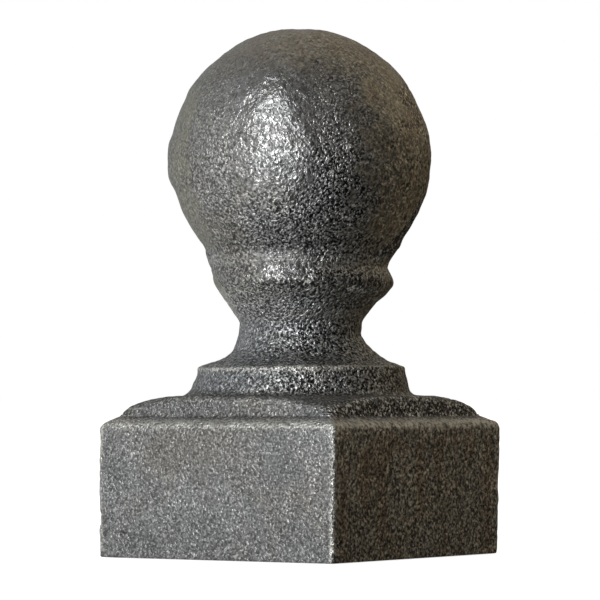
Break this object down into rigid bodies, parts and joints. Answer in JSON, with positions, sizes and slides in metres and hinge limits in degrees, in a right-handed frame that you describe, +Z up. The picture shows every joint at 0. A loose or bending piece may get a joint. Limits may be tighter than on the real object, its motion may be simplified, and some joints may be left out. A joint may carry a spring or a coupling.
{
  "type": "post cap",
  "caption": "Cast-iron ball finial on a hollow square skirt that drops over the top of a square post.",
  "frame": {"origin": "middle of the skirt's rim, in the plane the cap stands on", "axes": "+Z up through the ball, X and Y square to the skirt's sides"},
  "size_m": [0.0604, 0.0604, 0.1105],
  "materials": {
    "cast_iron": "as-cast sand grain, dark, with high spots worn bright and faint brown scale"
  },
  "bodies": {
    "root": {"post_cap": "cast_iron"}
  },
  "joints": []
}
